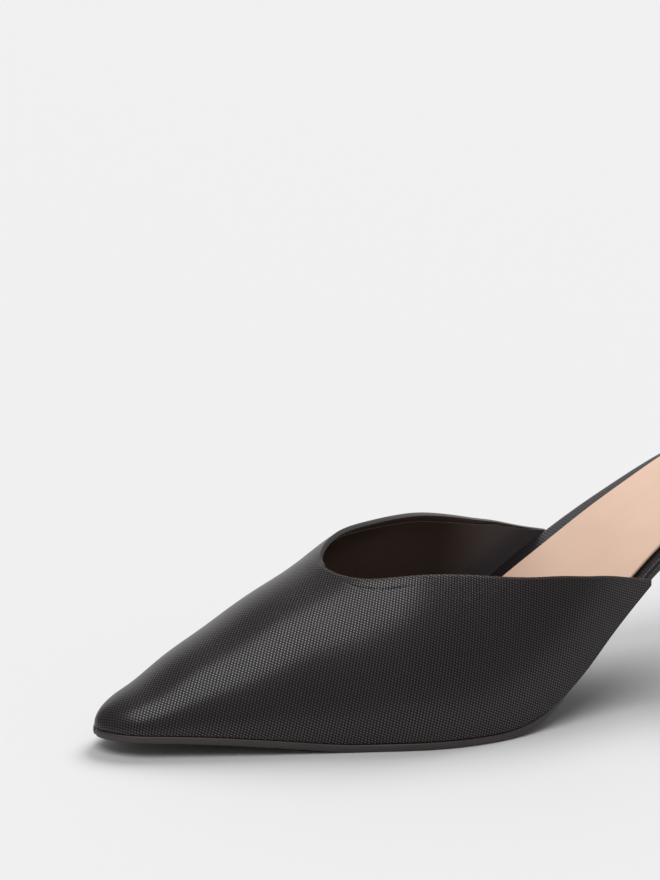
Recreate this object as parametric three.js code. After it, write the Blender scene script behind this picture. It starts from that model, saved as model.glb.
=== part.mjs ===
// A pointed-toe heeled mule for the right foot: an open-backed vamp in grained black leather on a thin
// sole, with a wrapped insole board, a tan sock and a slim covered heel.
// Millimetres, +Z up. +X points to the toe, +Y to the shoe's left, which is its medial side.
import * as THREE from 'three';

// The last: the form inside the shoe
const LAST_LENGTH = 248;
const BALL_WIDTH = 73;
const WAIST_WIDTH = 49;
const SEAT_WIDTH = 50;
const INSTEP_HEIGHT = 48;
const TOE_RADIUS = 8;
const NOSE_RADIUS = 9;
const TOE_SPRING = 4;
const HEEL_HEIGHT = 59;
const SIDE_BULGE = 0.6;
const ROUNDNESS = 1.85;

// The pieces
const FIT = 0.3;
const UPPER_WALL = 1.5;
const OUTSOLE = 2;
const OUTSOLE_EDGE = 0.5;
const OUTSOLE_MARGIN = 0.3;
const OUTSOLE_INSET = 2;
const WAIST_START = 0.48;
const BALL_START = 0.6;
const BOARD = 2.8;
const BOARD_FIT = 0.4;
const BOARD_EDGE = 1.3;
const BOARD_TOE_GAP = 2.6;
const BOARD_TOE_LENGTH = 22;
const SOCK = 1.4;
const SOCK_EDGE = 0.5;
const SEAT_LENGTH = 50;
const HEEL_TIP = 5;
const HEEL_TIP_LENGTH = 15;
const HEEL_TIP_WIDTH = 17;
const HEEL_TIP_BACK = 6;
const HEEL_INSET = 0.4;

// How finely the curved forms are divided
const STATION_SPACING = 5;
const WING_COLUMNS = 17;
const VAMP_COLUMNS = 22;
const TOE_COLUMNS = 8;
const UPPER_ROWS = 14;
const ROUND_TURNS = [4, 12, 21, 30, 40, 50, 60, 70, 80];
const HEEL_ROUND_STEPS = 10;
const HEEL_FRONT_STEPS = 5;
const CLOSE = 1e-6;

// Half widths of the last's bottom on each side of the line from heel to toe.
// at: share of LAST_LENGTH from the heel; medial and lateral: shares of the width named by of
const WIDTHS = { seat: SEAT_WIDTH, waist: WAIST_WIDTH, ball: BALL_WIDTH };
const PLAN = [
  { at: 0, of: 'seat', medial: 0.5, lateral: 0.5 },
  { at: 0.14, of: 'seat', medial: 0.49, lateral: 0.51 },
  { at: 0.27, of: 'waist', medial: 0.42, lateral: 0.54 },
  { at: 0.38, of: 'waist', medial: 0.42, lateral: 0.555 },
  { at: 0.48, of: 'ball', medial: 0.365, lateral: 0.435 },
  { at: 0.58, of: 'ball', medial: 0.445, lateral: 0.51 },
  { at: 0.64, of: 'ball', medial: 0.472, lateral: 0.522 },
  { at: 0.7, of: 'ball', medial: 0.45, lateral: 0.495 },
  { at: 0.76, of: 'ball', medial: 0.378, lateral: 0.432 },
  { at: 0.84, of: 'ball', medial: 0.288, lateral: 0.345 },
  { at: 0.91, of: 'ball', medial: 0.204, lateral: 0.24 },
  { at: 0.96, of: 'ball', medial: 0.138, lateral: 0.145 },
  { at: 1, of: 'ball', medial: 0.08, lateral: 0.08 },
];

// Height of the last's bottom over the flat of the tread; lift: share of the height named by of
const HEIGHTS = { heel: HEEL_HEIGHT, toe: TOE_SPRING };
const PROFILE = [
  { at: 0, of: 'heel', lift: 1.02 },
  { at: 0.06, of: 'heel', lift: 1 },
  { at: 0.14, of: 'heel', lift: 0.965 },
  { at: 0.27, of: 'heel', lift: 0.84 },
  { at: 0.38, of: 'heel', lift: 0.63 },
  { at: 0.48, of: 'heel', lift: 0.34 },
  { at: 0.53, of: 'heel', lift: 0.155 },
  { at: 0.58, of: 'heel', lift: 0.035 },
  { at: 0.62, of: 'heel', lift: 0 },
  { at: 0.77, of: 'toe', lift: 0 },
  { at: 0.84, of: 'toe', lift: 0.42 },
  { at: 0.91, of: 'toe', lift: 0.82 },
  { at: 0.96, of: 'toe', lift: 0.97 },
  { at: 1, of: 'toe', lift: 1 },
];

// Ridge of the last over its bottom edge, and how far it lies to the lateral side.
// crown: share of INSTEP_HEIGHT; lean: share of BALL_WIDTH
const RIDGE = [
  { at: 0.4, crown: 1.42, lean: 0.045 },
  { at: 0.5, crown: 1.25, lean: 0.044 },
  { at: 0.6, crown: 1.081, lean: 0.039 },
  { at: 0.66, crown: 1.001, lean: 0.029 },
  { at: 0.72, crown: 0.906, lean: 0.02 },
  { at: 0.76, crown: 0.787, lean: 0.013 },
  { at: 0.8, crown: 0.675, lean: 0.009 },
  { at: 0.84, crown: 0.547, lean: 0.006 },
  { at: 0.88, crown: 0.412, lean: 0.004 },
  { at: 0.92, crown: 0.29, lean: 0.003 },
  { at: 0.96, crown: 0.157, lean: 0.002 },
  { at: 1, crown: 0.104, lean: 0 },
];

// Topline, from the throat back to the ends of the wings. The first row is the throat's foremost point,
// a little to the medial side of the ridge.
// medial and lateral: share of the way from the ridge down to the bottom edge, below 0 past the ridge
const TOPLINE = [
  { at: 0.7615, medial: 0.08, lateral: -0.08 },
  { at: 0.758, medial: 0.17, lateral: 0 },
  { at: 0.75, medial: 0.245, lateral: 0.08 },
  { at: 0.74, medial: 0.3, lateral: 0.14 },
  { at: 0.726, medial: 0.345, lateral: 0.195 },
  { at: 0.7, medial: 0.38, lateral: 0.278 },
  { at: 0.66, medial: 0.425, lateral: 0.345 },
  { at: 0.62, medial: 0.477, lateral: 0.388 },
  { at: 0.58, medial: 0.556, lateral: 0.495 },
  { at: 0.54, medial: 0.655, lateral: 0.635 },
  { at: 0.5, medial: 0.782, lateral: 0.779 },
  { at: 0.465, medial: 0.887, lateral: 0.893 },
  { at: 0.432, medial: 0.98, lateral: 0.98 },
];

// Black rim of the board that the sock leaves bare, in millimetres
const RIM = [
  { at: 0, medial: 2.6, lateral: 2.6 },
  { at: 0.2, medial: 2.6, lateral: 3.4 },
  { at: 0.38, medial: 3, lateral: 7 },
  { at: 0.46, medial: 3, lateral: 8.2 },
  { at: 0.56, medial: 2.2, lateral: 5 },
  { at: 0.66, medial: 1.4, lateral: 2 },
  { at: 1, medial: 1.4, lateral: 1.4 },
];

// Heel under the seat. down: share of its height from the seat; tip: share of the way from the
// seat's outline to the tip's
const HEEL_ROWS = [
  { down: 0, tip: 0 },
  { down: 0.05, tip: 0.1 },
  { down: 0.14, tip: 0.3 },
  { down: 0.27, tip: 0.54 },
  { down: 0.43, tip: 0.75 },
  { down: 0.62, tip: 0.89 },
  { down: 0.82, tip: 0.97 },
  { down: 1, tip: 1 },
];

// Smooth curve through a table's values: a natural cubic spline
function smoothCurve(xs, ys) {
  const last = xs.length - 1;
  const bend = new Array(xs.length).fill(0);
  const work = new Array(xs.length).fill(0);
  for (let i = 1; i < last; i++) {
    const share = (xs[i] - xs[i - 1]) / (xs[i + 1] - xs[i - 1]);
    const pivot = share * bend[i - 1] + 2;
    const slopeBefore = (ys[i] - ys[i - 1]) / (xs[i] - xs[i - 1]);
    const slopeAfter = (ys[i + 1] - ys[i]) / (xs[i + 1] - xs[i]);
    const change = (6 * (slopeAfter - slopeBefore)) / (xs[i + 1] - xs[i - 1]);
    bend[i] = (share - 1) / pivot;
    work[i] = (change - share * work[i - 1]) / pivot;
  }
  for (let i = last - 1; i > 0; i--) {
    bend[i] = bend[i] * bend[i + 1] + work[i];
  }
  bend[last] = 0;
  return (x) => {
    let k = 0;
    while (k < last - 1 && x > xs[k + 1]) k++;
    const h = xs[k + 1] - xs[k];
    const a = (xs[k + 1] - x) / h;
    const b = (x - xs[k]) / h;
    const bending = ((a ** 3 - a) * bend[k] + (b ** 3 - b) * bend[k + 1]) * h * h;
    return a * ys[k] + b * ys[k + 1] + bending / 6;
  };
}

// Curve through a table's values that stays level between equal ones
function levelCurve(xs, ys) {
  const steps = xs.slice(1).map((x, i) => (ys[i + 1] - ys[i]) / (x - xs[i]));
  const slopes = xs.map((x, i) => {
    const before = steps[Math.max(i - 1, 0)];
    const after = steps[Math.min(i, steps.length - 1)];
    return before * after <= 0 ? 0 : (2 * before * after) / (before + after);
  });
  return (x) => {
    let k = 0;
    while (k < xs.length - 2 && x > xs[k + 1]) k++;
    const h = xs[k + 1] - xs[k];
    const t = THREE.MathUtils.clamp((x - xs[k]) / h, 0, 1);
    const start = (1 + 2 * t) * (1 - t) ** 2 * ys[k] + t * (1 - t) ** 2 * h * slopes[k];
    const end = t * t * (3 - 2 * t) * ys[k + 1] + t * t * (t - 1) * h * slopes[k + 1];
    return start + end;
  };
}

const along = (rows) => rows.map((row) => row.at * LAST_LENGTH);
const halfWidth = {
  medial: smoothCurve(along(PLAN), PLAN.map((row) => row.medial * WIDTHS[row.of])),
  lateral: smoothCurve(along(PLAN), PLAN.map((row) => row.lateral * WIDTHS[row.of])),
};
const lift = levelCurve(along(PROFILE), PROFILE.map((row) => row.lift * HEIGHTS[row.of]));
const crown = smoothCurve(along(RIDGE), RIDGE.map((row) => row.crown * INSTEP_HEIGHT));
const lean = smoothCurve(along(RIDGE), RIDGE.map((row) => row.lean * BALL_WIDTH));
const rim = {
  medial: levelCurve(along(RIM), RIM.map((row) => row.medial)),
  lateral: levelCurve(along(RIM), RIM.map((row) => row.lateral)),
};
const SIDES = { medial: 1, lateral: -1 };

// Height of the last's bottom edge over the floor: the outsole and its seam are below it
const bottomHeight = (x) => OUTSOLE + FIT + lift(x);

// Round end of a form: 0 at the end, 1 from one radius inwards, a quarter circle between
function roundEnd(distance, radius) {
  const inwards = THREE.MathUtils.clamp(distance / radius, 0, 1);
  return Math.sqrt(1 - (1 - inwards) ** 2);
}

// Edge of the last's bottom on one side
function edgeY(x, side) {
  const ends = roundEnd(x, SEAT_WIDTH / 2) * roundEnd(LAST_LENGTH - x, TOE_RADIUS);
  return SIDES[side] * halfWidth[side](x) * ends;
}

// Point of the last's edge in plan, moved outwards by offset square to the edge
function edgePoint(x, side, offset) {
  const step = 0.01;
  const back = Math.max(x - step, 0);
  const front = Math.min(x + step, LAST_LENGTH);
  const slope = new THREE.Vector2(front - back, edgeY(front, side) - edgeY(back, side)).normalize();
  const outwards = new THREE.Vector2(-slope.y, slope.x).multiplyScalar(SIDES[side]);
  return new THREE.Vector2(x, edgeY(x, side)).addScaledVector(outwards, offset);
}

// Point of the last's surface. across: 1 at the medial edge, 0 on the ridge, -1 at the lateral edge
function lastPoint(x, across) {
  const side = across >= 0 ? 'medial' : 'lateral';
  const angle = (Math.min(Math.abs(across), 1) * Math.PI) / 2;
  const power = 2 / ROUNDNESS;
  const ridgeY = -lean(x) * roundEnd(LAST_LENGTH - x, TOE_RADIUS);
  const edge = edgeY(x, side);
  const bulge = (SIDE_BULGE * SIDES[side] * Math.sin(2 * angle) * Math.abs(edge)) / (BALL_WIDTH / 2);
  const height = crown(x) * roundEnd(LAST_LENGTH - x, NOSE_RADIUS);
  const y = ridgeY + (edge - ridgeY) * Math.sin(angle) ** power + bulge;
  const z = bottomHeight(x) + height * Math.abs(Math.cos(angle)) ** power;
  return new THREE.Vector3(x, y, z);
}

// The same point moved outwards by offset, square to the surface
function offsetPoint(x, across, offset) {
  const point = lastPoint(x, across);
  if (LAST_LENGTH - x < CLOSE) return point.add(new THREE.Vector3(offset, 0, 0));
  const step = 0.002;
  const high = Math.min(across + step, 1);
  const low = Math.max(high - 2 * step, -1);
  const front = Math.min(x + step, LAST_LENGTH);
  const around = lastPoint(x, high).sub(lastPoint(x, low));
  const forwards = lastPoint(front, across).sub(lastPoint(front - 2 * step, across));
  const outwards = forwards.cross(around).normalize();
  return point.addScaledVector(outwards, offset);
}

// Mesh of one closed solid from its vertices and faces of three or four corners
function solid(name, vertices, faces, material) {
  const halves = ([a, b, c, d]) => (d === undefined ? [[a, b, c]] : [[a, b, c], [a, c, d]]);
  const triangles = faces.flatMap(halves);
  const same = (a, b) => vertices[a].distanceTo(vertices[b]) < CLOSE;
  const index = triangles.filter(([a, b, c]) => !same(a, b) && !same(b, c) && !same(c, a)).flat();
  const positions = vertices.flatMap((v) => v.toArray());
  const geometry = new THREE.BufferGeometry();
  geometry.setAttribute('position', new THREE.Float32BufferAttribute(positions, 3));
  geometry.setIndex(index);
  geometry.computeVertexNormals();
  const mesh = new THREE.Mesh(geometry, material);
  mesh.name = name;
  return mesh;
}

// Solid skinned over rings with the same number of points, each end closed by a fan
function skinned(name, rings, material) {
  const count = rings[0].length;
  const vertices = rings.flat();
  const faces = [];
  for (let r = 0; r < rings.length - 1; r++) {
    for (let i = 0; i < count; i++) {
      const next = (i + 1) % count;
      faces.push([r * count + i, r * count + next, (r + 1) * count + next, (r + 1) * count + i]);
    }
  }
  for (const r of [0, rings.length - 1]) {
    const middle = rings[r].reduce((sum, v) => sum.add(v), new THREE.Vector3()).divideScalar(count);
    const hub = vertices.push(middle) - 1;
    for (let i = 0; i < count; i++) {
      const next = (i + 1) % count;
      faces.push(r === 0 ? [hub, r * count + next, r * count + i] : [hub, r * count + i, r * count + next]);
    }
  }
  return solid(name, vertices, faces, material);
}

// Distances from a round end's tip, a few degrees of its quarter circle apart
function roundPlaces(radius) {
  return ROUND_TURNS.map((turn) => radius * (1 - Math.cos(THREE.MathUtils.degToRad(turn))));
}

// Places along the last from one end to the toe, closer together round the heel and the toe
function stations(start) {
  const heelRound = SEAT_WIDTH / 2;
  const from = start === 0 ? heelRound : start;
  const to = LAST_LENGTH - TOE_RADIUS;
  const steps = Math.round((to - from) / STATION_SPACING);
  const heel = start === 0 ? roundPlaces(heelRound) : [];
  const middle = Array.from({ length: steps + 1 }, (_, i) => from + ((to - from) * i) / steps);
  const toe = roundPlaces(TOE_RADIUS).reverse().map((distance) => LAST_LENGTH - distance);
  return [...heel, ...middle, ...toe];
}

// Flat layer that follows the last's bottom: its edge moved by offset(x, side), between two levels
// over the last's bottom, with edges rounded by radius
function layer(name, places, offset, low, high, radius, material) {
  const corner = Math.min(radius, (high - low) / 2);
  const turn = [0, 0.5, 1].map((share) => (share * Math.PI) / 2);
  const edge = [
    ...turn.map((a) => ({ inwards: corner * (1 - Math.sin(a)), level: high - corner * (1 - Math.cos(a)) })),
    ...turn.map((a) => ({ inwards: corner * (1 - Math.cos(a)), level: low + corner * (1 - Math.sin(a)) })),
  ];
  const sidePoints = (x, side) => edge.map(({ inwards, level }) => {
    const plan = edgePoint(x, side, offset(x, side) - inwards);
    return new THREE.Vector3(plan.x, plan.y, bottomHeight(plan.x) + level);
  });
  const rings = places.map((x) => [...sidePoints(x, 'lateral'), ...sidePoints(x, 'medial').reverse()]);
  return skinned(name, rings, material);
}

// Vamp and wings: a wall between the last's surface and the same surface UPPER_WALL further out. Its
// columns stand on the bottom edge and reach the topline or, before the throat, the line on which the two
// sides meet: it starts at the throat and joins the ridge at the toe
function upperColumns(side) {
  const sideLength = 90;
  const divisions = 400;
  const placesOf = (name) => TOPLINE.map((row) => (
    new THREE.Vector3(row.at * LAST_LENGTH, sideLength * SIDES[name] * row[name], 0)));
  const places = [...placesOf('medial').reverse(), ...placesOf('lateral').slice(1)];
  const topline = new THREE.CatmullRomCurve3(places);
  const lengths = topline.getLengths(divisions);
  const throatShare = lengths[divisions / 2] / lengths[divisions];
  const throat = TOPLINE[0].at * LAST_LENGTH;
  const wingEnd = TOPLINE[TOPLINE.length - 1].at * LAST_LENGTH;
  const toeStart = LAST_LENGTH - TOE_RADIUS;
  const columns = [];
  for (let i = 0; i < WING_COLUMNS; i++) {
    const share = i / WING_COLUMNS;
    const place = side === 'medial' ? share * throatShare : 1 - share * (1 - throatShare);
    const top = topline.getPointAt(place);
    const foot = wingEnd + (throat - wingEnd) * share;
    columns.push({ foot, top: top.x, across: top.y / sideLength, open: true });
  }
  for (let i = 0; i < VAMP_COLUMNS; i++) {
    const share = i / VAMP_COLUMNS;
    const x = throat + (toeStart - throat) * share;
    columns.push({ foot: x, top: x, across: TOPLINE[0].medial * (1 - share), open: false });
  }
  for (let i = TOE_COLUMNS; i >= 0; i--) {
    const x = LAST_LENGTH - TOE_RADIUS * (1 - Math.cos((i / TOE_COLUMNS) * (Math.PI / 2)));
    columns.push({ foot: x, top: x, across: 0, open: false });
  }
  return columns;
}

function buildUpper(material) {
  const rows = UPPER_ROWS;
  const vertices = [];
  const faces = [];
  for (const side of ['medial', 'lateral']) {
    const columns = upperColumns(side);
    const place = (column, row, offset) => {
      const up = row / rows;
      const x = THREE.MathUtils.lerp(column.foot, column.top, up);
      return offsetPoint(x, THREE.MathUtils.lerp(SIDES[side], column.across, up), offset);
    };
    const grid = (offset) => columns.map((column) => (
      Array.from({ length: rows + 1 }, (_, row) => vertices.push(place(column, row, offset)) - 1)));
    const outer = grid(UPPER_WALL);
    const inner = grid(0);
    const add = (corners) => faces.push(side === 'medial' ? corners.reverse() : corners);
    for (let k = 0; k < columns.length - 1; k++) {
      for (let j = 0; j < rows; j++) {
        add([outer[k][j], outer[k + 1][j], outer[k + 1][j + 1], outer[k][j + 1]]);
        add([inner[k][j], inner[k][j + 1], inner[k + 1][j + 1], inner[k + 1][j]]);
      }
      add([outer[k][0], inner[k][0], inner[k + 1][0], outer[k + 1][0]]);
      if (columns[k].open) add([outer[k][rows], outer[k + 1][rows], inner[k + 1][rows], inner[k][rows]]);
    }
    for (let j = 0; j < rows; j++) {
      add([outer[0][j], outer[0][j + 1], inner[0][j + 1], inner[0][j]]);
    }
  }
  return solid('upper', vertices, faces, material);
}

// Thin sole from the toe to the heel's breast: flush under the vamp, set in under the waist
function buildOutsole(material) {
  const flush = UPPER_WALL + OUTSOLE_MARGIN;
  const offset = (x) => {
    const forwards = THREE.MathUtils.smoothstep(x / LAST_LENGTH, WAIST_START, BALL_START);
    return THREE.MathUtils.lerp(-OUTSOLE_INSET, flush, forwards);
  };
  const places = stations(SEAT_LENGTH + FIT);
  return layer('outsole', places, offset, -FIT - OUTSOLE, -FIT, OUTSOLE_EDGE, material);
}

// The board's edge: just inside the upper, and a little further in at the low toe
function boardEdge(x) {
  const toeStart = LAST_LENGTH - BOARD_TOE_LENGTH;
  return -BOARD_FIT - BOARD_TOE_GAP * THREE.MathUtils.smoothstep(x, toeStart, LAST_LENGTH);
}

function buildInsoleBoard(material) {
  return layer('insole_board', stations(0), boardEdge, 0, BOARD, BOARD_EDGE, material);
}

function buildSock(material) {
  const bare = (x, side) => boardEdge(x) - rim[side](x);
  const low = BOARD + FIT;
  return layer('sock', stations(0), bare, low, low + SOCK, SOCK_EDGE, material);
}

// Half outline of the heel from its back to its breast, blended from the seat to the tip
function heelOutline(side, tip) {
  const seatRound = SEAT_WIDTH / 2;
  const tipRound = HEEL_TIP_WIDTH / 2;
  const points = [];
  for (let i = 0; i <= HEEL_ROUND_STEPS + HEEL_FRONT_STEPS; i++) {
    const turn = (Math.min(i / HEEL_ROUND_STEPS, 1) * Math.PI) / 2;
    const ahead = Math.max(i - HEEL_ROUND_STEPS, 0) / HEEL_FRONT_STEPS;
    const seatX = seatRound * (1 - Math.cos(turn)) + (SEAT_LENGTH - seatRound) * ahead;
    const seat = edgePoint(seatX, side, -HEEL_INSET);
    const seatTop = bottomHeight(seat.x) - FIT;
    const tipX = tipRound * (1 - Math.cos(turn)) + (HEEL_TIP_LENGTH - tipRound) * ahead;
    const tipY = SIDES[side] * tipRound * Math.sin(turn);
    const plan = seat.lerp(new THREE.Vector2(HEEL_TIP_BACK + tipX, tipY), tip);
    points.push({ plan, seatTop });
  }
  return points;
}

function heelRing(tip, height) {
  const point = ({ plan, seatTop }) => new THREE.Vector3(plan.x, plan.y, height(seatTop));
  const medial = heelOutline('medial', tip).map(point);
  const lateral = heelOutline('lateral', tip).map(point);
  return [...medial.reverse(), ...lateral.slice(1)];
}

function buildHeel(material) {
  const foot = HEEL_TIP + FIT;
  const rings = [...HEEL_ROWS].reverse().map((row) => (
    heelRing(row.tip, (seatTop) => THREE.MathUtils.lerp(seatTop, foot, row.down))));
  return skinned('heel', rings, material);
}

function buildHeelTip(material) {
  return skinned('heel_tip', [0, HEEL_TIP].map((level) => heelRing(1, () => level)), material);
}

const grainedLeather = new THREE.MeshStandardMaterial({ color: 0x3a3637, roughness: 0.5, metalness: 0 });
const soleBrown = new THREE.MeshStandardMaterial({ color: 0x463a37, roughness: 0.6, metalness: 0 });
const tanLining = new THREE.MeshStandardMaterial({ color: 0xe4c1a6, roughness: 0.65, metalness: 0 });
const tipBlack = new THREE.MeshStandardMaterial({ color: 0x1d1c1c, roughness: 0.7, metalness: 0 });

const mule = new THREE.Group();
mule.add(
  buildUpper(grainedLeather),
  buildOutsole(soleBrown),
  buildInsoleBoard(grainedLeather),
  buildSock(tanLining),
  buildHeel(grainedLeather),
  buildHeelTip(tipBlack),
);

// The origin is on the floor, under the middle of the shoe's outline
const reach = new THREE.Box3().setFromObject(mule);
const middle = reach.getCenter(new THREE.Vector3());
mule.position.set(-middle.x, -middle.y, -reach.min.z);

export default mule;
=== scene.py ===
# %% [markdown]
# # A pointed mule in grained black leather
# This lesson dresses one right shoe. A mule has no back: a low-cut vamp with two short wings holds the
# front of the foot, and the heel of the foot stands free on a tan sock. The solids come from the packed
# model, in metres, standing on the floor at z = 0 with the toe towards +X. Nothing here moves or resizes
# them: each piece of the shoe starts from its own solid and gets the edges, thickness and finish that the
# plain solid lacks.

# %% Load the solids
import math

import bmesh
import bpy
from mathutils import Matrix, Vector


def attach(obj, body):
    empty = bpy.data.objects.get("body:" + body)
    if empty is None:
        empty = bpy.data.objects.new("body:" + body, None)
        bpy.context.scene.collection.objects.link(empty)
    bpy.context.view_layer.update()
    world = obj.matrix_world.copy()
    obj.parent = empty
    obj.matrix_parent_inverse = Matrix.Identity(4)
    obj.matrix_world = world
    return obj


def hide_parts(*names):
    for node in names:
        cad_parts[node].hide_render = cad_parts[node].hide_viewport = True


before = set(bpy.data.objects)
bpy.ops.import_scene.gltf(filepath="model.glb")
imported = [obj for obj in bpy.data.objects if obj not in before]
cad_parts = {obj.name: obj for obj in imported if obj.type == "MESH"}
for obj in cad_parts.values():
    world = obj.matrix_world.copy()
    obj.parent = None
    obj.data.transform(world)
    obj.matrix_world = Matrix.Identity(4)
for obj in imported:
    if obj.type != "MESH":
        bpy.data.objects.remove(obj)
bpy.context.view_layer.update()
MM = 0.001
print("solids:", sorted(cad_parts))

# %% [markdown]
# ## Tools for the bench
# Every piece starts the same way. The solid arrives as loose triangles, so a copy of it is merged into one
# skin and its triangles are paired back into quads, which smoothing likes better. Parts of that skin are
# then found by walking from face to face and stopping at a sharp turn, as a finger stops at an edge.

# %% A merged copy of a solid
SAME_SPOT = 0.001 * MM
QUAD_TURN, QUAD_SKEW = math.radians(40), math.radians(80)


def merged_copy(node):
    skin = bmesh.new()
    skin.from_mesh(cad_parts[node].data)
    bmesh.ops.remove_doubles(skin, verts=skin.verts, dist=SAME_SPOT)
    bmesh.ops.join_triangles(skin, faces=skin.faces, angle_face_threshold=QUAD_TURN,
                             angle_shape_threshold=QUAD_SKEW)
    return skin


# %% Walk over a skin up to its sharp turns
SHARP_TURN = math.radians(50)
FACING = 0.5  # a face looks up, or down, when its normal's z is beyond this


def region(start, limit=SHARP_TURN):
    found = {start}
    waiting = [start]
    while waiting:
        face = waiting.pop()
        for edge in face.edges:
            if len(edge.link_faces) != 2 or edge.calc_face_angle() > limit:
                continue
            for near in edge.link_faces:
                if near not in found:
                    found.add(near)
                    waiting.append(near)
    return found


# %% Turn a finished skin into a piece of the shoe
def piece_from(skin, name, slot, *nodes):
    mesh = bpy.data.meshes.new(name)
    skin.to_mesh(mesh)
    skin.free()
    for face in mesh.polygons:
        face.use_smooth = True
    piece = bpy.data.objects.new(name, mesh)
    bpy.context.scene.collection.objects.link(piece)
    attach(piece, "root")
    if nodes:
        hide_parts(*nodes)
    print(f"{name}: {len(mesh.polygons)} faces before its modifiers")
    return piece


# %% Modifiers that several pieces share
def add_smoothing(piece, levels):
    smoothing = piece.modifiers.new("smoothing", "SUBSURF")
    smoothing.levels = smoothing.render_levels = levels


def add_wall(piece, thickness):
    wall = piece.modifiers.new("wall", "SOLIDIFY")
    wall.thickness = thickness
    wall.offset = -1
    wall.material_offset_rim = 1  # the rim wears the piece's second finish


def add_round_edge(piece, width, segments):
    edge = piece.modifiers.new("round edge", "BEVEL")
    edge.limit_method = "ANGLE"
    edge.angle_limit = SHARP_TURN
    edge.width = width
    edge.segments = segments


# %% [markdown]
# ## Flat patterns
# A grain belongs to the leather, not to the air around it: it was pressed into a flat sheet before the
# sheet was pulled over the last. So the pattern has to lie on the piece as it lay on the cutting table.
# Unwrapping with the least stretch does just that. Afterwards the pattern is turned so that U runs along
# the shoe, and scaled to metres, so that a pitch in millimetres stays a pitch in millimetres. The vamp's
# grain runs askew to the shoe, because the vamp was cut at a slant from the sheet.

# %% Lay a piece flat
GRAIN_SLANT = math.radians(50)
UNWRAP_ROUNDS = 60


def flat_pattern(piece):
    mesh = piece.data
    mesh.uv_layers.new(name="pattern")
    bpy.context.view_layer.objects.active = piece
    piece.select_set(True)
    bpy.ops.object.mode_set(mode="EDIT")
    bpy.ops.mesh.select_all(action="SELECT")
    bpy.ops.uv.unwrap(method="MINIMUM_STRETCH", iterations=UNWRAP_ROUNDS, margin=0.01)
    bpy.ops.object.mode_set(mode="OBJECT")
    piece.select_set(False)
    uv = [Vector(spot.vector) for spot in mesh.uv_layers["pattern"].uv]
    places = [mesh.vertices[loop.vertex_index].co.x for loop in mesh.loops]
    real = sum(face.area for face in mesh.polygons)
    flat = sum(flat_area([uv[i] for i in face.loop_indices]) for face in mesh.polygons)
    middle = sum(uv, Vector((0, 0))) / len(uv)
    mean = sum(places) / len(places)
    across = sum((p - mean) * (q.x - middle.x) for p, q in zip(places, uv))
    up = sum((p - mean) * (q.y - middle.y) for p, q in zip(places, uv))
    angle = GRAIN_SLANT - math.atan2(up, across)
    size = math.sqrt(real / flat)
    for spot, q in zip(mesh.uv_layers["pattern"].uv, uv):
        moved = (q - middle) * size
        spot.vector = (moved.x * math.cos(angle) - moved.y * math.sin(angle),
                       moved.x * math.sin(angle) + moved.y * math.cos(angle))
    print(f"{piece.name}: {real * 1e4:.0f} cm2 laid flat")


def flat_area(corners):
    total = 0
    for here, ahead in zip(corners, corners[1:] + corners[:1]):
        total += here.x * ahead.y - ahead.x * here.y
    return abs(total) / 2


# %% [markdown]
# ## The vamp
# The vamp and its wings are one sheet of leather, 1.2 mm thick, folded over along the topline, with a
# thin lining glued inside. The solid is the whole wall. Its outer skin is taken off by walking from the
# top of the toe to the edges, and becomes the leather; the same skin, set inwards and cut a little lower,
# becomes the lining. That leaves the folded band and the lining's raw edge that one sees inside the shoe.

# %% Take the outer skin off the wall
RIM_FACING = 0.1


def outer_skin():
    skin = merged_copy("upper")
    mark = skin.verts.layers.int.new("topline")
    tops = [face for face in skin.faces if face.normal.z > FACING]
    start = max(tops, key=lambda face: face.calc_center_median().x)
    outer = region(start)
    rims = {face for face in skin.faces if face not in outer and face.normal.z > RIM_FACING
            and any(near in outer for edge in face.edges for near in edge.link_faces)}
    topline = {vert for face in rims for vert in face.verts
               if any(near in outer for near in vert.link_faces)}
    for vert in topline:
        vert[mark] = 1
    rest = [face for face in skin.faces if face not in outer]
    bmesh.ops.delete(skin, geom=rest, context="FACES")
    print(f"outer skin: {len(skin.faces)} faces, {len(topline)} corners on the topline")
    return skin


# %% [markdown]
# The folded edge pulls the leather into small wrinkles near the throat. They follow the topline, so the
# vamp gets a second map made for them: U is the way along the topline from the throat, counted towards
# the medial wing, and V is the distance from the topline.

# %% Map the leather from its topline
def open_edges(mesh):
    uses = {}
    for face in mesh.polygons:
        for key in face.edge_keys:
            uses[key] = uses.get(key, 0) + 1
    return {edge.index for edge in mesh.edges if uses.get(tuple(sorted(edge.vertices))) == 1}


def topline_path(mesh):
    marks = mesh.attributes["topline"].data
    border = open_edges(mesh)
    ends = {}
    for edge in mesh.edges:
        a, b = edge.vertices
        if marks[a].value and marks[b].value and edge.index in border:
            ends.setdefault(a, []).append(b)
            ends.setdefault(b, []).append(a)
    here = max((v for v in ends if len(ends[v]) == 1), key=lambda v: mesh.vertices[v].co.y)
    path, before = [here], None
    while True:
        after = [v for v in ends[here] if v != before]
        if not after:
            return [mesh.vertices[v].co.copy() for v in path]
        before, here = here, after[0]
        path.append(here)


def map_topline(piece):
    mesh = piece.data
    path = topline_path(mesh)
    reach = [0]
    for here, ahead in zip(path, path[1:]):
        reach.append(reach[-1] + (ahead - here).length)
    throat = reach[max(range(len(path)), key=lambda i: path[i].x)]
    places = []
    for vert in mesh.vertices:
        best = None
        for i, (here, ahead) in enumerate(zip(path, path[1:])):
            step = ahead - here
            share = min(max((vert.co - here).dot(step) / step.length_squared, 0), 1)
            away = (vert.co - here - step * share).length
            if best is None or away < best[1]:
                best = (throat - reach[i] - step.length * share, away)
        places.append(best)
    layer = mesh.uv_layers.new(name="topline_map")
    for loop in mesh.loops:
        layer.uv[loop.index].vector = places[loop.vertex_index]
    print(f"topline: {reach[-1] * 1000:.0f} mm, of which {throat * 1000:.0f} on the medial side")


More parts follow.
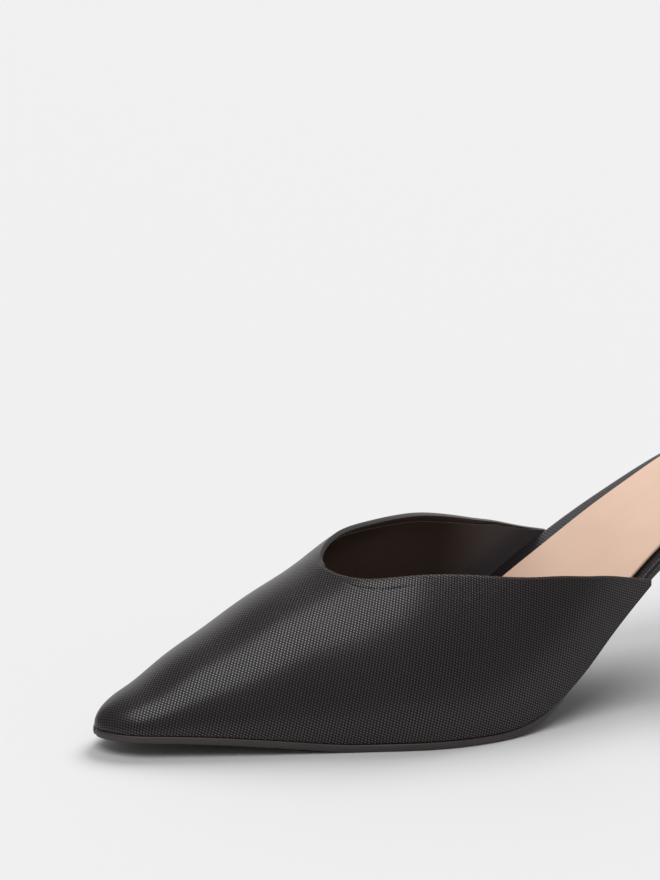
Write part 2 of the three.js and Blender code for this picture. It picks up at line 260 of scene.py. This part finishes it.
# %% The vamp's leather
LEATHER = 1.2 * MM

vamp = piece_from(outer_skin(), "vamp_leather", "grained_leather", "upper")
flat_pattern(vamp)
map_topline(vamp)
add_smoothing(vamp, 2)
add_wall(vamp, LEATHER)
add_round_edge(vamp, 0.5 * MM, 4)

# %% The lining, cut lower than the fold
FOLD_BAND = 2.4 * MM
LINING_GAP = 0.05 * MM
LINING = 0.25 * MM
LARGEST_SHARE = 0.8  # of the edge that a corner slides along


def lower_topline(skin, drop):
    mark = skin.verts.layers.int["topline"]
    moves = {}
    for vert in skin.verts:
        if not vert[mark]:
            continue
        inner = [edge for edge in vert.link_edges if not edge.is_boundary]
        if not inner:
            continue
        edge = min(inner, key=lambda e: e.calc_length())
        reach = min(drop, LARGEST_SHARE * edge.calc_length())
        moves[vert] = vert.co.lerp(edge.other_vert(vert).co, reach / edge.calc_length())
    for vert, place in moves.items():
        vert.co = place


lining_skin = outer_skin()
lower_topline(lining_skin, FOLD_BAND)
lining_skin.normal_update()
bmesh.ops.subdivide_edges(lining_skin, edges=lining_skin.edges, cuts=1, use_grid_fill=True)
lining_skin.normal_update()
for vert in lining_skin.verts:
    vert.co -= vert.normal * (LEATHER + LINING_GAP)
lining = piece_from(lining_skin, "vamp_lining", "grained_leather")
add_smoothing(lining, 1)
add_wall(lining, LINING)

# %% [markdown]
# ## Board, sock and outsole
# These three are flat layers bent to the last's bottom. The solids have the right outline and thickness,
# but long thin faces: smoothing would melt their edges. A loop set in from the border of each flat side
# holds the edge in place, and then the smoothing only rounds what should be round.

# %% A layer with held edges
FLAT_TURN = math.radians(15)


def held_layer(node, hold):
    skin = merged_copy(node)
    skin.normal_update()
    for way in (1, -1):
        faces = [face for face in skin.faces if face.normal.z * way > FACING]
        side = region(max(faces, key=lambda face: face.calc_area()), FLAT_TURN)
        bmesh.ops.inset_region(skin, faces=list(side), thickness=hold, use_even_offset=True,
                               use_boundary=True)
    skin.normal_update()
    return skin


# %% [markdown]
# The board's wrap is one sheet pulled down over the edge. Its pattern is that of the top, seen from above,
# and the edge is folded out round it like the rim of an opened box.

# %% The wrapped insole board
BOARD_EDGE = 2 * MM
FOLD_START, FOLD_END = 0.75, -0.75  # the fold turns the normal's z from the first to the second
LEAST_OUTWARD = 0.2


def folded_pattern(piece, edge):
    mesh = piece.data
    layer = mesh.uv_layers.new(name="pattern")
    for loop in mesh.loops:
        vert = mesh.vertices[loop.vertex_index]
        outward = vert.normal.xy
        share = min(max((FOLD_START - vert.normal.z) / (FOLD_START - FOLD_END), 0), 1)
        if outward.length > LEAST_OUTWARD:
            outward.normalize()
        layer.uv[loop.index].vector = vert.co.xy + outward * edge * share
    print(f"{piece.name}: edge folded out by {edge * 1000:.1f} mm")


board = piece_from(held_layer("insole_board", 0.8 * MM),
                   "wrapped_board", "board_wrap", "insole_board")
folded_pattern(board, BOARD_EDGE)
add_smoothing(board, 2)

# %% The tan sock
sock = piece_from(held_layer("sock", 0.4 * MM), "tan_sock", "tan_lining", "sock")
add_smoothing(sock, 2)

# %% The thin outsole
outsole = piece_from(held_layer("outsole", 0.4 * MM), "thin_outsole", "sole_brown", "outsole")
add_smoothing(outsole, 2)

# %% [markdown]
# ## The heel
# A covered heel is a plastic core with leather pulled tightly round it and closed at the front, the
# breast. Its surface is smooth from seat to tip, so the coarse solid is smoothed too, with its top, bottom
# and breast edges held by creases. The grain is wound round it from the back, and its two ends meet down
# the breast, where the real seam is. The top piece under it is a small hard rubber block, cut flush.

# %% Hold the sharp edges of a skin while it is smoothed
def crease_sharp(skin, strength):
    layer = skin.edges.layers.float.new("crease_edge")
    for edge in skin.edges:
        if len(edge.link_faces) == 2 and edge.calc_face_angle() > SHARP_TURN:
            edge[layer] = strength


# %% Wrap the grain round the heel
SECTION = 6 * MM


def wrap_round(piece):
    mesh = piece.data
    spots = [vert.co for vert in mesh.vertices]

    def section(height):
        weights = [math.exp(-((spot.z - height) / SECTION) ** 2) for spot in spots]
        total = sum(weights)
        middle = sum((spot * weight for spot, weight in zip(spots, weights)), Vector()) / total
        reach = sum(weight * (spot - middle).xy.length for spot, weight in zip(spots, weights))
        return middle, reach / total

    def turn(spot, middle):
        return math.atan2(spot.y - middle.y, middle.x - spot.x)

    sections = [section(spot.z) for spot in spots]
    layer = mesh.uv_layers.new(name="pattern")
    for face in mesh.polygons:
        facing = turn(face.center, section(face.center.z)[0])
        for i in face.loop_indices:
            corner = mesh.loops[i].vertex_index
            middle, reach = sections[corner]
            angle = turn(spots[corner], middle)
            angle -= 2 * math.pi * round((angle - facing) / (2 * math.pi))
            layer.uv[i].vector = (angle * reach, spots[corner].z)
    widest = max(reach for _, reach in sections)
    print(f"{piece.name}: pattern wound round it, up to {widest * 1000:.0f} mm from its middle")


# %% The covered heel
HEEL_CREASE = 0.85

heel_skin = merged_copy("heel")
crease_sharp(heel_skin, HEEL_CREASE)
heel = piece_from(heel_skin, "covered_heel", "heel_cover", "heel")
wrap_round(heel)
add_smoothing(heel, 3)

# %% The top piece
tip_skin = merged_copy("heel_tip")
tip = piece_from(tip_skin, "top_piece", "tip_black", "heel_tip")
add_round_edge(tip, 0.35 * MM, 3)

# %% [markdown]
# ## Finishes
# The grain is a slanted lattice of small glossy beads, about 0.75 mm apart one way and 0.65 mm the other.
# Pressed leather is never perfectly even, so the lattice wanders a little and its beads differ in height.
# Several pieces wear this grain, so it is a node group that puts out a height and a mask, and each leather
# has its own gloss and depth.

# %% Node helpers
def add_node(tree, kind, place, **settings):
    node = tree.nodes.new(kind)
    node.location = place
    for key, value in settings.items():
        setattr(node, key, value)
    return node


def set_input(tree, socket, value):
    if isinstance(value, bpy.types.NodeSocket):
        tree.links.new(value, socket)
    else:
        socket.default_value = (*value, 1) if isinstance(value, tuple) else value


def math_node(tree, operation, place, *values):
    node = add_node(tree, "ShaderNodeMath", place, operation=operation)
    for socket, value in zip(node.inputs, values):
        set_input(tree, socket, value)
    return node.outputs[0]


def group_socket(tree, name, way, kind, value=None):
    socket = tree.interface.new_socket(name=name, in_out=way, socket_type=kind)
    if value is not None:
        socket.default_value = value


# %% The bead grain
DRIFT_SCALE, PATCH_SCALE = 260, 900  # both per metre
BEAD_FOCUS = 1.5


def make_bead_grain():
    tree = bpy.data.node_groups.new("bead_grain", "ShaderNodeTree")
    group_socket(tree, "Pattern", "INPUT", "NodeSocketVector")
    group_socket(tree, "Pitch Along", "INPUT", "NodeSocketFloat", 0.75 * MM)
    group_socket(tree, "Pitch Across", "INPUT", "NodeSocketFloat", 0.65 * MM)
    group_socket(tree, "Skew", "INPUT", "NodeSocketFloat", 0.2)
    group_socket(tree, "Wander", "INPUT", "NodeSocketFloat", 0.12 * MM)
    group_socket(tree, "Unevenness", "INPUT", "NodeSocketFloat", 0.35)
    group_socket(tree, "Height", "OUTPUT", "NodeSocketFloat")
    group_socket(tree, "Beads", "OUTPUT", "NodeSocketFloat")
    inside = add_node(tree, "NodeGroupInput", (-1300, 0))
    outside = add_node(tree, "NodeGroupOutput", (700, 0))
    drift = add_node(tree, "ShaderNodeTexNoise", (-1100, -250), noise_dimensions="2D")
    drift.inputs["Scale"].default_value = DRIFT_SCALE
    drift.inputs["Detail"].default_value = 2
    tree.links.new(inside.outputs["Pattern"], drift.inputs["Vector"])
    centred = add_node(tree, "ShaderNodeVectorMath", (-900, -250), operation="SUBTRACT")
    centred.inputs[1].default_value = (0.5, 0.5, 0.5)
    tree.links.new(drift.outputs["Color"], centred.inputs[0])
    shift = add_node(tree, "ShaderNodeVectorMath", (-720, -250), operation="SCALE")
    tree.links.new(centred.outputs[0], shift.inputs[0])
    tree.links.new(inside.outputs["Wander"], shift.inputs["Scale"])
    moved = add_node(tree, "ShaderNodeVectorMath", (-540, 0), operation="ADD")
    tree.links.new(inside.outputs["Pattern"], moved.inputs[0])
    tree.links.new(shift.outputs[0], moved.inputs[1])
    parts = add_node(tree, "ShaderNodeSeparateXYZ", (-360, 0))
    tree.links.new(moved.outputs[0], parts.inputs[0])
    sideways = math_node(tree, "MULTIPLY", (-360, -160), parts.outputs["X"], inside.outputs["Skew"])
    skewed = math_node(tree, "ADD", (-260, -160), parts.outputs["Y"], sideways)
    waves = []
    ways = ((parts.outputs["X"], "Pitch Along", 120), (skewed, "Pitch Across", -60))
    for way, pitch, row in ways:
        turns = math_node(tree, "DIVIDE", (-180, row), way, inside.outputs[pitch])
        angle = math_node(tree, "MULTIPLY", (-20, row), turns, 2 * math.pi)
        wave = math_node(tree, "COSINE", (120, row), angle)
        half = math_node(tree, "MULTIPLY", (240, row), wave, 0.5)
        waves.append(math_node(tree, "ADD", (340, row), half, 0.5))
    beads = math_node(tree, "MULTIPLY", (440, 60), waves[0], waves[1])
    patch = add_node(tree, "ShaderNodeTexNoise", (-180, -300), noise_dimensions="2D")
    patch.inputs["Scale"].default_value = PATCH_SCALE
    patch.inputs["Detail"].default_value = 1
    tree.links.new(inside.outputs["Pattern"], patch.inputs["Vector"])
    low = math_node(tree, "SUBTRACT", (0, -300), patch.outputs["Fac"], 0.5)
    uneven = math_node(tree, "MULTIPLY", (160, -300), low, inside.outputs["Unevenness"])
    level = math_node(tree, "ADD", (300, -300), uneven, 1.0)
    height = math_node(tree, "MULTIPLY", (560, -100), beads, level)
    tree.links.new(height, outside.inputs["Height"])
    tops = math_node(tree, "POWER", (560, 160), beads, BEAD_FOCUS)
    tree.links.new(tops, outside.inputs["Beads"])
    return tree


bead_grain = make_bead_grain()
print("bead grain:", len(bead_grain.nodes), "nodes")


# %% A wrinkle along the topline
def make_wrinkle():
    tree = bpy.data.node_groups.new("topline_wrinkle", "ShaderNodeTree")
    group_socket(tree, "Topline Map", "INPUT", "NodeSocketVector")
    for name in ("Middle", "Reach", "Distance", "Slant", "Width"):
        group_socket(tree, name, "INPUT", "NodeSocketFloat")
    group_socket(tree, "Dent", "OUTPUT", "NodeSocketFloat")
    inside = add_node(tree, "NodeGroupInput", (-900, 0))
    outside = add_node(tree, "NodeGroupOutput", (700, 0))
    parts = add_node(tree, "ShaderNodeSeparateXYZ", (-700, 0))
    tree.links.new(inside.outputs["Topline Map"], parts.inputs[0])
    along = math_node(tree, "SUBTRACT", (-500, 120), parts.outputs["X"], inside.outputs["Middle"])
    drift = math_node(tree, "MULTIPLY", (-500, -60), along, inside.outputs["Slant"])
    away = parts.outputs["Y"]
    level = math_node(tree, "SUBTRACT", (-340, -160), away, inside.outputs["Distance"])
    lane = math_node(tree, "SUBTRACT", (-180, -120), level, drift)
    hills = []
    for way, size, row in ((along, "Reach", 160), (lane, "Width", -120)):
        share = math_node(tree, "DIVIDE", (-20, row), way, inside.outputs[size])
        square = math_node(tree, "MULTIPLY", (120, row), share, share)
        fall = math_node(tree, "MULTIPLY", (260, row), square, -1.0)
        hills.append(math_node(tree, "EXPONENT", (400, row), fall))
    dent = math_node(tree, "MULTIPLY", (540, 0), hills[0], hills[1])
    tree.links.new(dent, outside.inputs["Dent"])
    return tree


topline_wrinkle = make_wrinkle()


# %% A soft mottle for plain surfaces
def make_mottle():
    tree = bpy.data.node_groups.new("soft_mottle", "ShaderNodeTree")
    group_socket(tree, "Place", "INPUT", "NodeSocketVector")
    group_socket(tree, "Patch Size", "INPUT", "NodeSocketFloat")
    group_socket(tree, "Pore Size", "INPUT", "NodeSocketFloat")
    group_socket(tree, "Patches", "OUTPUT", "NodeSocketFloat")
    group_socket(tree, "Pores", "OUTPUT", "NodeSocketFloat")
    inside = add_node(tree, "NodeGroupInput", (-700, 0))
    outside = add_node(tree, "NodeGroupOutput", (300, 0))
    noises = (("Patch Size", "Patches", 4, 120), ("Pore Size", "Pores", 2, -160))
    for size, name, detail, row in noises:
        scale = math_node(tree, "DIVIDE", (-480, row), 1.0, inside.outputs[size])
        noise = add_node(tree, "ShaderNodeTexNoise", (-260, row))
        noise.inputs["Detail"].default_value = detail
        tree.links.new(inside.outputs["Place"], noise.inputs["Vector"])
        tree.links.new(scale, noise.inputs["Scale"])
        tree.links.new(noise.outputs["Fac"], outside.inputs[name])
    return tree


soft_mottle = make_mottle()

# %% [markdown]
# ## Leathers and plastics
# Constants such as an IOR are set straight on the Principled shader. What changes over the
# surface, the colour between beads (darker there as painted shade) or the roughness of a patch, comes from
# the groups. The beads' tops wear a clear coat, as polish does not reach between them, and it stays smooth
# over the grain. The coat is taken off along the folded edge, and the black there is lightened as a painted
# highlight of the fold.

# %% A material with one Principled shader
def new_finish(name, colour, roughness):
    finish = bpy.data.materials.new(name)
    finish.use_nodes = True
    shader = finish.node_tree.nodes["Principled BSDF"]
    shader.inputs["Base Color"].default_value = (*colour, 1)
    shader.inputs["Roughness"].default_value = roughness
    return finish, finish.node_tree, shader


def place_group(tree, group, place, **values):
    node = add_node(tree, "ShaderNodeGroup", place, node_tree=group)
    for key, value in values.items():
        node.inputs[key.replace("_", " ")].default_value = value
    return node


def blend(tree, place, factor, low, high, kind="RGBA"):
    mix = add_node(tree, "ShaderNodeMix", place, data_type=kind)
    for name, value in (("Factor", factor), ("A", low), ("B", high)):
        set_input(tree, mix.inputs[name], value)
    return mix.outputs["Result"]


def blend_value(tree, place, factor, low, high):
    ramp = add_node(tree, "ShaderNodeMapRange", place)
    ramp.inputs["To Min"].default_value = low
    ramp.inputs["To Max"].default_value = high
    tree.links.new(factor, ramp.inputs["Value"])
    return ramp.outputs["Result"]


def fade_out(tree, place, value, start, end):
    ramp = add_node(tree, "ShaderNodeMapRange", place, interpolation_type="SMOOTHSTEP")
    for name, number in (("From Min", start), ("From Max", end), ("To Min", 1), ("To Max", 0)):
        ramp.inputs[name].default_value = number
    tree.links.new(value, ramp.inputs["Value"])
    return ramp.outputs["Result"]


def add_bump(tree, place, height, distance, strength, before=None):
    bump = add_node(tree, "ShaderNodeBump", place)
    bump.inputs["Strength"].default_value = strength
    bump.inputs["Distance"].default_value = distance
    tree.links.new(height, bump.inputs["Height"])
    if before is not None:
        tree.links.new(before, bump.inputs["Normal"])
    return bump.outputs["Normal"]


def place_mottle(tree, place, patch, pore):
    across, up = place
    solid_place = add_node(tree, "ShaderNodeTexCoord", place)
    mottle = place_group(tree, soft_mottle, (across + 240, up), Patch_Size=patch, Pore_Size=pore)
    tree.links.new(solid_place.outputs["Object"], mottle.inputs["Place"])
    return mottle


def finish_with(tree, shader, **values):
    for name, value in values.items():
        set_input(tree, shader.inputs[name.replace("_", " ")], value)


# %% Grained leather
# Valleys between the beads are painted darker than the bead tops: painted shade in the hollows of the
# grain.
VALLEY_PAINTED_SHADE, BLACK_BEAD = (0.012, 0.0088, 0.0095), (0.036, 0.028, 0.03)
LEATHER_ROUGHNESS = (0.34, 0.44)
LEATHER_SPECULAR, POLISH_IOR = 0.15, 1.9


def grained_leather(name, depth, polish_roughness, wrinkles=()):
    finish, tree, shader = new_finish(name, BLACK_BEAD, 0.45)
    pattern = add_node(tree, "ShaderNodeUVMap", (-1300, 200), uv_map="pattern")
    grain = place_group(tree, bead_grain, (-1050, 200))
    tree.links.new(pattern.outputs["UV"], grain.inputs["Pattern"])
    mottle = place_mottle(tree, (-1300, -250), 14 * MM, 0.25 * MM)
    polish = grain.outputs["Beads"]
    # The bead mask blends the colour: tops at the leather's black, valleys darker as painted shade.
    colour = blend(tree, (-700, 260), polish, VALLEY_PAINTED_SHADE, BLACK_BEAD)
    gloss = blend_value(tree, (-700, -60), mottle.outputs["Patches"], *LEATHER_ROUGHNESS)
    fine = add_bump(tree, (-500, -420), mottle.outputs["Pores"], 0.02 * MM, 0.5)
    normal = add_bump(tree, (-260, -300), grain.outputs["Height"], depth, 1.0, fine)
    if wrinkles:
        colour, normal, polish = wrinkles_and_edge_highlight(tree, wrinkles, colour, normal, polish)
    finish_with(tree, shader, Base_Color=colour, Roughness=gloss, Normal=normal, Coat_Weight=polish,
                Coat_Roughness=polish_roughness, Coat_IOR=POLISH_IOR,
                Specular_IOR_Level=LEATHER_SPECULAR)
    return finish


# %% Wrinkles and a painted highlight on the folded edge along the topline
WRINKLE_DEPTH = 0.35 * MM
# Within this band from the topline the black is lightened: a painted highlight of the rounded fold. The
# coat is taken off there too.
EDGE_HIGHLIGHT_BAND = (0.2 * MM, 0.8 * MM)
EDGE_HIGHLIGHT_COLOUR = (0.055, 0.044, 0.04)
WRINKLES = (
    dict(Middle=13.3 * MM, Reach=3.6 * MM, Distance=2.5 * MM, Slant=0.14, Width=0.3 * MM),
    dict(Middle=21 * MM, Reach=3.2 * MM, Distance=3 * MM, Slant=-0.02, Width=0.28 * MM))


def wrinkles_and_edge_highlight(tree, wrinkles, colour, normal, polish):
    edge_map = add_node(tree, "ShaderNodeUVMap", (-900, -500), uv_map="topline_map")
    for number, wrinkle in enumerate(wrinkles):
        across, row = 200 * number, -500 - 260 * number
        group = place_group(tree, topline_wrinkle, (-700, row), **wrinkle)
        tree.links.new(edge_map.outputs["UV"], group.inputs["Topline Map"])
        dent = group.outputs["Dent"]
        normal = add_bump(tree, (across - 60, row), dent, -WRINKLE_DEPTH, 1.0, normal)
        smooth = math_node(tree, "SUBTRACT", (-500, row), 1.0, dent)
        polish = math_node(tree, "MULTIPLY", (-340, row), polish, smooth)
    spot = add_node(tree, "ShaderNodeSeparateXYZ", (-700, 560))
    tree.links.new(edge_map.outputs["UV"], spot.inputs[0])
    # Painted highlight along the folded edge; the coat is taken off under it.
    edge_highlight = fade_out(tree, (-500, 560), spot.outputs["Y"], *EDGE_HIGHLIGHT_BAND)
    colour = blend(tree, (-300, 560), edge_highlight, colour, EDGE_HIGHLIGHT_COLOUR)
    inner = math_node(tree, "SUBTRACT", (-300, 760), 1.0, edge_highlight)
    polish = math_node(tree, "MULTIPLY", (-140, 760), polish, inner)
    return colour, normal, polish


vamp_finish = grained_leather("grained_black", 0.09 * MM, 0.26, WRINKLES)
wrap_finish = grained_leather("board_wrap", 0.05 * MM, 0.25)
heel_finish = grained_leather("heel_cover", 0.075 * MM, 0.24)


# %% Plain finishes with a mottle and pores
ROUGHNESS_SPREAD = 0.06


def plain_finish(name, low, high, roughness, patch, pore, depth):
    finish, tree, shader = new_finish(name, high, roughness)
    mottle = place_mottle(tree, (-1100, 0), patch, pore)
    patches = mottle.outputs["Patches"]
    colour = blend(tree, (-560, 200), patches, low, high)
    gloss = blend_value(tree, (-560, -60), patches, roughness - ROUGHNESS_SPREAD,
                        roughness + ROUGHNESS_SPREAD)
    normal = add_bump(tree, (-300, -260), mottle.outputs["Pores"], depth, 0.6)
    finish_with(tree, shader, Base_Color=colour, Roughness=gloss, Normal=normal)
    return finish


fold_finish = plain_finish("folded_edge", (0.014, 0.011, 0.0115), (0.022, 0.018, 0.0185),
                           roughness=0.6, patch=6 * MM, pore=0.3 * MM, depth=0.03 * MM)
raw_edge = plain_finish("lining_edge", (0.1, 0.085, 0.075), (0.14, 0.12, 0.105),
                        roughness=0.6, patch=4 * MM, pore=0.2 * MM, depth=0.02 * MM)
sole_finish = plain_finish("sole_brown", (0.03, 0.0235, 0.0215), (0.046, 0.0365, 0.0335),
                           roughness=0.45, patch=10 * MM, pore=0.4 * MM, depth=0.03 * MM)
tan_finish = plain_finish("tan_sock", (0.7, 0.47, 0.35), (0.78, 0.54, 0.405),
                          roughness=0.55, patch=9 * MM, pore=0.35 * MM, depth=0.03 * MM)
lining_finish = plain_finish("dark_lining", (0.0055, 0.0025, 0.0015), (0.009, 0.0048, 0.0032),
                             roughness=0.38, patch=18 * MM, pore=0.3 * MM, depth=0.02 * MM)
tip_finish = plain_finish("top_piece_black", (0.01, 0.009, 0.009), (0.018, 0.016, 0.016),
                          roughness=0.6, patch=5 * MM, pore=0.4 * MM, depth=0.05 * MM)

# %% [markdown]
# The lining has two parts: brown in the toe, and black with more gloss in the wings. The wings' colour is
# lifted lighter than the brown, a painted sheen on the black, and it is blended in behind a line across the
# shoe.

# %% The lining's black wings, with a painted sheen
BLACK_BEHIND, BROWN_BEFORE = -4 * MM, 16 * MM
# The wing colour is lifted well above the brown's: a black lining with a painted sheen on it.
WING_BLACK_PAINTED_SHEEN, WING_ROUGHNESS = (0.06, 0.055, 0.059), 0.3
LINING_SPECULAR = 0.3


def black_wings_with_painted_sheen(finish):
    tree = finish.node_tree
    shader = tree.nodes["Principled BSDF"]
    place = add_node(tree, "ShaderNodeTexCoord", (-900, 500))
    parts = add_node(tree, "ShaderNodeSeparateXYZ", (-720, 500))
    tree.links.new(place.outputs["Object"], parts.inputs[0])
    # black: share of the wing colour, a black lining lightened as painted sheen
    black = fade_out(tree, (-540, 500), parts.outputs["X"], BLACK_BEHIND, BROWN_BEFORE)
    colour, gloss = (shader.inputs[name].links[0].from_socket
                     for name in ("Base Color", "Roughness"))
    finish_with(tree, shader, Specular_IOR_Level=LINING_SPECULAR,
                Base_Color=blend(tree, (-300, 500), black, colour, WING_BLACK_PAINTED_SHEEN),
                Roughness=blend(tree, (-300, 300), black, gloss, WING_ROUGHNESS, "FLOAT"))


black_wings_with_painted_sheen(lining_finish)

# %% Dress the pieces
WORN = ((vamp, (vamp_finish, fold_finish)), (lining, (lining_finish, raw_edge)),
        (board, (wrap_finish,)), (sock, (tan_finish,)), (outsole, (sole_finish,)),
        (heel, (heel_finish,)), (tip, (tip_finish,)))
for piece, finishes in WORN:
    for finish in finishes:
        piece.data.materials.append(finish)
print("dressed:", [piece.name for piece, finishes in WORN])

# %% [markdown]
# ## Floor, light and camera
# The shoe stands on a wide pale floor that fills the picture, so no backdrop is needed. A broad soft light
# falls from above, behind the heel and the far side, as from a lit ceiling: it makes the floor even and
# throws the shadow under the sole. A dim one from low on the far side, as from a white wall, draws the dull
# sheen along the ridge, and a smaller bright one, above and in front, lights up single beads of the grain.
# All are suns, which light the floor evenly, and a weak white world fills the shadows.

# %% The floor
def make_floor(reach):
    skin = bmesh.new()
    bmesh.ops.create_grid(skin, x_segments=1, y_segments=1, size=reach)
    mesh = bpy.data.meshes.new("floor")
    skin.to_mesh(mesh)
    skin.free()
    floor = bpy.data.objects.new("floor", mesh)
    bpy.context.scene.collection.objects.link(floor)
    return floor


FLOOR_REACH = 30
FLOOR_GREY = (0.65, 0.65, 0.65)

floor = make_floor(FLOOR_REACH)
floor_finish, _, floor_shader = new_finish("floor_pale", FLOOR_GREY, 0.9)
floor_shader.inputs["Specular IOR Level"].default_value = 0.1
floor.data.materials.append(floor_finish)

# %% Light from all round
FILL = 0.3

world = bpy.data.worlds.new("studio")
world.use_nodes = True
background = world.node_tree.nodes["Background"]
background.inputs["Color"].default_value = (1, 1, 1, 1)
background.inputs["Strength"].default_value = FILL
bpy.context.scene.world = world


# %% The lights
def soft_sun(name, source, width, power):
    light = bpy.data.lights.new(name, "SUN")
    light.angle = math.radians(width)
    light.energy = power
    sun = bpy.data.objects.new(name, light)
    sun.rotation_euler = Vector(source).to_track_quat("Z", "Y").to_euler()
    bpy.context.scene.collection.objects.link(sun)


soft_sun("ceiling", (-0.52, -0.34, 0.78), 34, 2.35)
soft_sun("wall", (-0.2, -0.87, 0.45), 55, 0.5)
soft_sun("key", (0.33, 0.34, 0.88), 42, 1.35)

# %% Camera
LONG_SIDE_PIXELS = 880
FOCAL_PIXELS = 2600
CAMERA_PLACE = (0.326, 0.574, 0.220)
CAMERA_AIM = Vector((-0.4090, -0.8835, -0.2282))

lens = bpy.data.cameras.new("camera")
lens.sensor_fit = "AUTO"
lens.sensor_width = 36
lens.lens = FOCAL_PIXELS * lens.sensor_width / LONG_SIDE_PIXELS
camera = bpy.data.objects.new("camera", lens)
bpy.context.scene.collection.objects.link(camera)
camera.location = CAMERA_PLACE
camera.rotation_euler = CAMERA_AIM.to_track_quat("-Z", "Y").to_euler()
bpy.context.scene.camera = camera
bpy.context.scene.view_settings.view_transform = "Standard"
